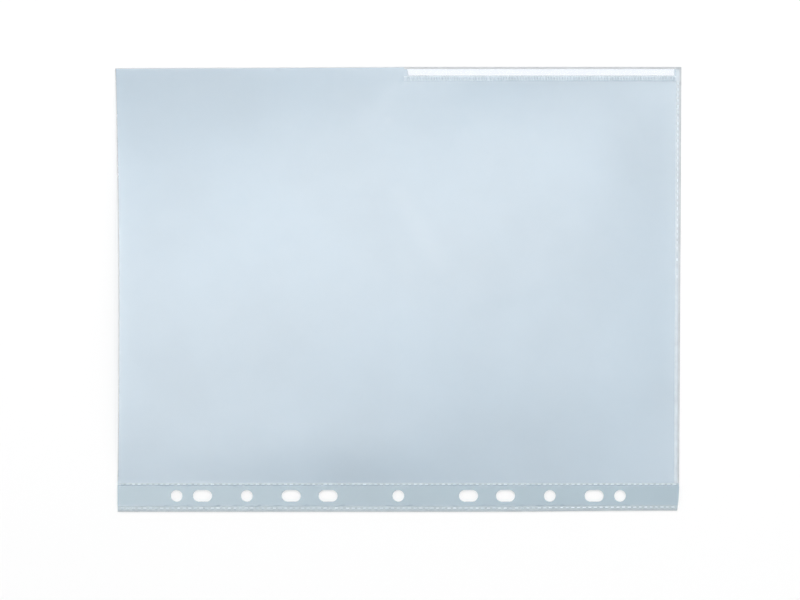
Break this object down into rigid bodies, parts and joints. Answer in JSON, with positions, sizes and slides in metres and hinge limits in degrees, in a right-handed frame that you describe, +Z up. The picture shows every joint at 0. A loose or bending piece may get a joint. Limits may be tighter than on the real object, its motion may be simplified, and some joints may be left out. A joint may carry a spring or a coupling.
{
  "type": "document pocket",
  "caption": "Clear landscape film pocket with an open end, embossed welds, a punched binding margin for ring binders and a slim card index label in a channel along its fold.",
  "frame": {"origin": "middle of the pocket on the flat surface that it lies on", "axes": "+X from the open mouth to the closed end, +Y from the punched margin to the fold, +Z up through the front sheet"},
  "size_m": [0.304, 0.24, 0.0073],
  "materials": {
    "film": "smooth clear polypropylene film with a slight blue-grey cast",
    "strip": "clear polypropylene strip",
    "weld": "melted film embossed with raised dashes",
    "card": "uncoated white card"
  },
  "bodies": {
    "margin": {"filing_strip": "strip", "margin_back_film": "film", "margin_front_film": "film", "inner_weld": "weld", "outer_weld": "weld"},
    "pocket": {"back_sheet": "film", "outer_fold": "film", "label_window": "film", "label_weld": "weld", "end_weld": "weld"},
    "front": {"front_sheet": "film"},
    "label": {"index_label": "card"}
  },
  "joints": [
    {"name": "margin_hinge", "type": "hinge", "parent": "margin", "child": "pocket", "pos_m": [0, -0.1044, 0.00014], "axis": [1, 0, 0], "range_deg": [-90, 90]},
    {"name": "mouth_lift", "type": "hinge", "parent": "pocket", "child": "front", "pos_m": [0.1491, 0.004, 0.00024], "axis": [0, 1, 0], "range_deg": [0, 4]},
    {"name": "label_slide", "type": "slide", "parent": "pocket", "child": "label", "axis": [-1, 0, 0], "range_m": [0, 0.3]}
  ]
}
